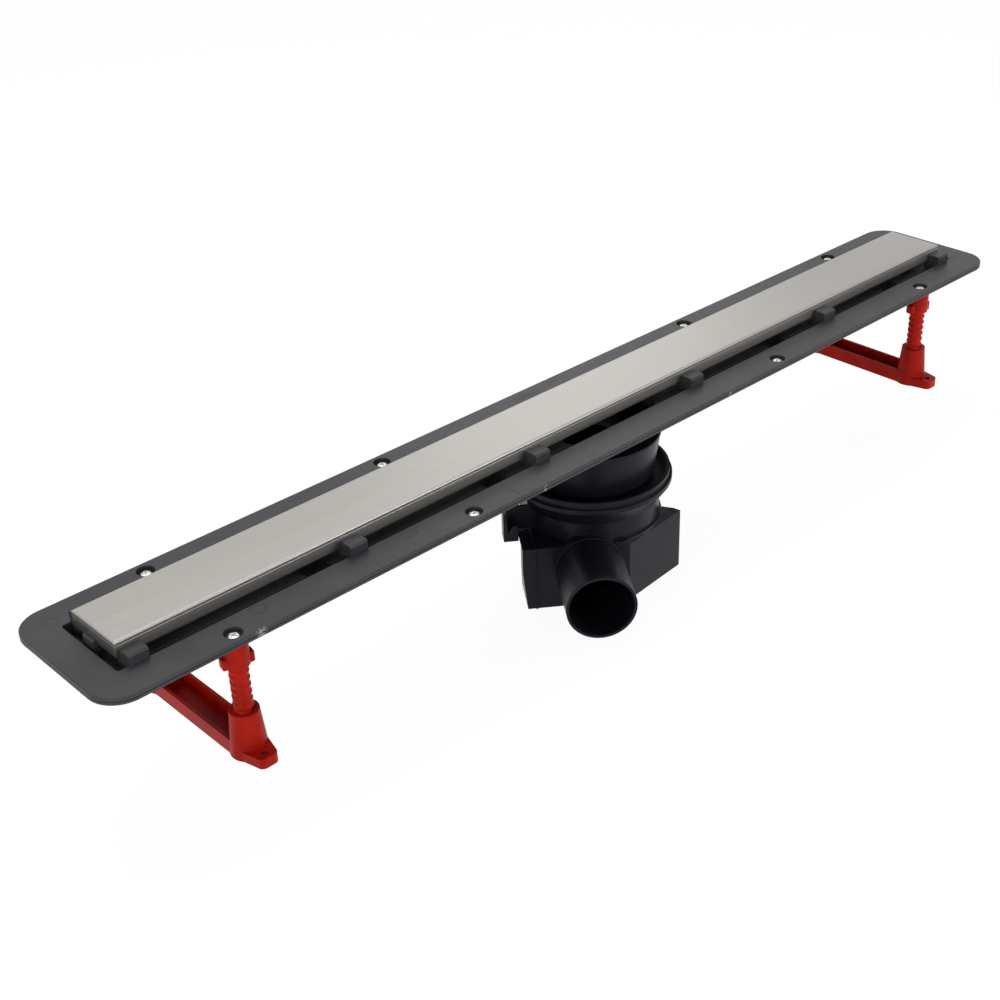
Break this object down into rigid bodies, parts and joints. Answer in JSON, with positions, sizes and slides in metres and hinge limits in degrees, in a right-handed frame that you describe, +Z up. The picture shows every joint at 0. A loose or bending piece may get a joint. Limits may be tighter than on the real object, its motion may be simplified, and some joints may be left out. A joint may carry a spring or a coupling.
{
  "type": "linear shower drain",
  "caption": "Linear shower drain: brushed steel cover in a black flanged channel, height-adjustable red feet and a swivelling black trap with a side outlet.",
  "frame": {"origin": "centre of the four floor fixing holes, in the plane the feet stand on", "axes": "+X along the channel to the right of the picture, +Y to the back, +Z up"},
  "size_m": [0.856, 0.1611, 0.145],
  "materials": {
    "flange_plastic": "fine grained anthracite",
    "brushed_stainless": "brushed along the length",
    "screw_steel": "bright zinc",
    "red_plastic": "semi gloss",
    "trap_plastic": "semi gloss black",
    "seal_rubber": "matt"
  },
  "bodies": {
    "channel": {"upper_frame": "flange_plastic", "sealing_gasket": "seal_rubber", "cover_plate": "brushed_stainless", "cover_folds": "brushed_stainless", "cover_end_folds": "brushed_stainless", "flange_screws": "screw_steel", "spindle_screws": "screw_steel", "siphon_insert": "trap_plastic", "channel_flange": "flange_plastic", "trough_wall_front": "flange_plastic", "trough_wall_rear": "flange_plastic", "trough_floor_left": "flange_plastic", "trough_floor_right": "flange_plastic", "trough_end_left": "flange_plastic", "trough_end_right": "flange_plastic", "rail_front": "flange_plastic", "rail_rear": "flange_plastic", "sump_socket": "flange_plastic", "clip_front_1": "flange_plastic", "clip_front_2": "flange_plastic", "clip_front_3": "flange_plastic", "clip_front_4": "flange_plastic", "clip_front_5": "flange_plastic", "clip_front_6": "flange_plastic", "clip_rear_1": "flange_plastic", "clip_rear_2": "flange_plastic", "clip_rear_3": "flange_plastic", "clip_rear_4": "flange_plastic", "clip_rear_5": "flange_plastic", "clip_rear_6": "flange_plastic", "clip_end_left": "flange_plastic", "clip_end_right": "flange_plastic"},
    "trap": {"trap_body": "trap_plastic", "outlet_tube": "trap_plastic", "trap_end_cap": "trap_plastic"},
    "left_foot": {"foot_left": "red_plastic"},
    "right_foot": {"foot_right": "red_plastic"},
    "spindle_front_left_body": {"spindle_front_left": "red_plastic"},
    "spindle_rear_left_body": {"spindle_rear_left": "red_plastic"},
    "spindle_front_right_body": {"spindle_front_right": "red_plastic"},
    "spindle_rear_right_body": {"spindle_rear_right": "red_plastic"}
  },
  "joints": [
    {"name": "trap_swivel", "type": "hinge", "parent": "channel", "child": "trap", "pos_m": [0, 0, 0.03], "axis": [0, 0, 1], "continuous": true},
    {"name": "left_foot_height", "type": "slide", "parent": "channel", "child": "left_foot", "axis": [0, 0, 1], "range_m": [-0.008, 0.012]},
    {"name": "right_foot_height", "type": "slide", "parent": "channel", "child": "right_foot", "axis": [0, 0, 1], "range_m": [-0.008, 0.012]},
    {"name": "spindle_front_left_turn", "type": "hinge", "parent": "channel", "child": "spindle_front_left_body", "pos_m": [-0.3395, -0.0462, 0.05], "axis": [0, 0, 1], "range_deg": [-866, 577]},
    {"name": "spindle_rear_left_turn", "type": "hinge", "parent": "channel", "child": "spindle_rear_left_body", "pos_m": [-0.3395, 0.0462, 0.05], "axis": [0, 0, 1], "range_deg": [-866, 577]},
    {"name": "spindle_front_right_turn", "type": "hinge", "parent": "channel", "child": "spindle_front_right_body", "pos_m": [0.3395, -0.0462, 0.05], "axis": [0, 0, 1], "range_deg": [-866, 577]},
    {"name": "spindle_rear_right_turn", "type": "hinge", "parent": "channel", "child": "spindle_rear_right_body", "pos_m": [0.3395, 0.0462, 0.05], "axis": [0, 0, 1], "range_deg": [-866, 577]}
  ],
  "couplings": [
    {"joint": "spindle_front_left_turn", "follows": "left_foot_height", "rad_per_m": -1256.6},
    {"joint": "spindle_rear_left_turn", "follows": "left_foot_height", "rad_per_m": -1256.6},
    {"joint": "spindle_front_right_turn", "follows": "right_foot_height", "rad_per_m": -1256.6},
    {"joint": "spindle_rear_right_turn", "follows": "right_foot_height", "rad_per_m": -1256.6}
  ]
}
